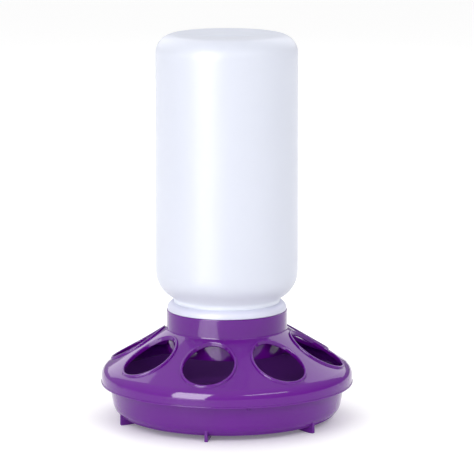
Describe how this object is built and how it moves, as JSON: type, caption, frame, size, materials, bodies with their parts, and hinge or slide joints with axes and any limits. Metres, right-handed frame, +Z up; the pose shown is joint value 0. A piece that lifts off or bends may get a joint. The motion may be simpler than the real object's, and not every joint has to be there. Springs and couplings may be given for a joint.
{
  "type": "poultry jar feeder",
  "caption": "Free-standing poultry jar feeder: an inverted screw jar over a round dish with a conical cover full of feed holes.",
  "frame": {"origin": "centre of the base on the floor plane the feet stand on", "axes": "+Z up along the jar's axis, -Y towards the viewer of the picture, +X to the viewer's right"},
  "size_m": [0.16, 0.16, 0.2451],
  "materials": {
    "purple_plastic": "glossy moulded polypropylene, purple",
    "white_ring": "smooth white soft plastic",
    "white_jar": "translucent milky white blown polyethylene"
  },
  "bodies": {
    "tray": {"tray": "purple_plastic"},
    "cover": {"cover": "purple_plastic"},
    "neck_ring": {"neck_ring": "white_ring"},
    "jar": {"jar": "white_jar"}
  },
  "joints": [
    {"name": "cover_lift", "type": "slide", "parent": "tray", "child": "cover", "axis": [0, 0, 1], "range_m": [0, 0.05]},
    {"name": "jar_rise", "type": "slide", "parent": "cover", "child": "neck_ring", "axis": [0, 0, 1], "range_m": [0, 0.015]},
    {"name": "jar_turn", "type": "hinge", "parent": "neck_ring", "child": "jar", "pos_m": [0, 0, 0.0703], "axis": [0, 0, 1], "range_deg": [0, 1080]}
  ],
  "couplings": [
    {"joint": "jar_rise", "follows": "jar_turn", "m_per_rad": 0.00079577}
  ]
}
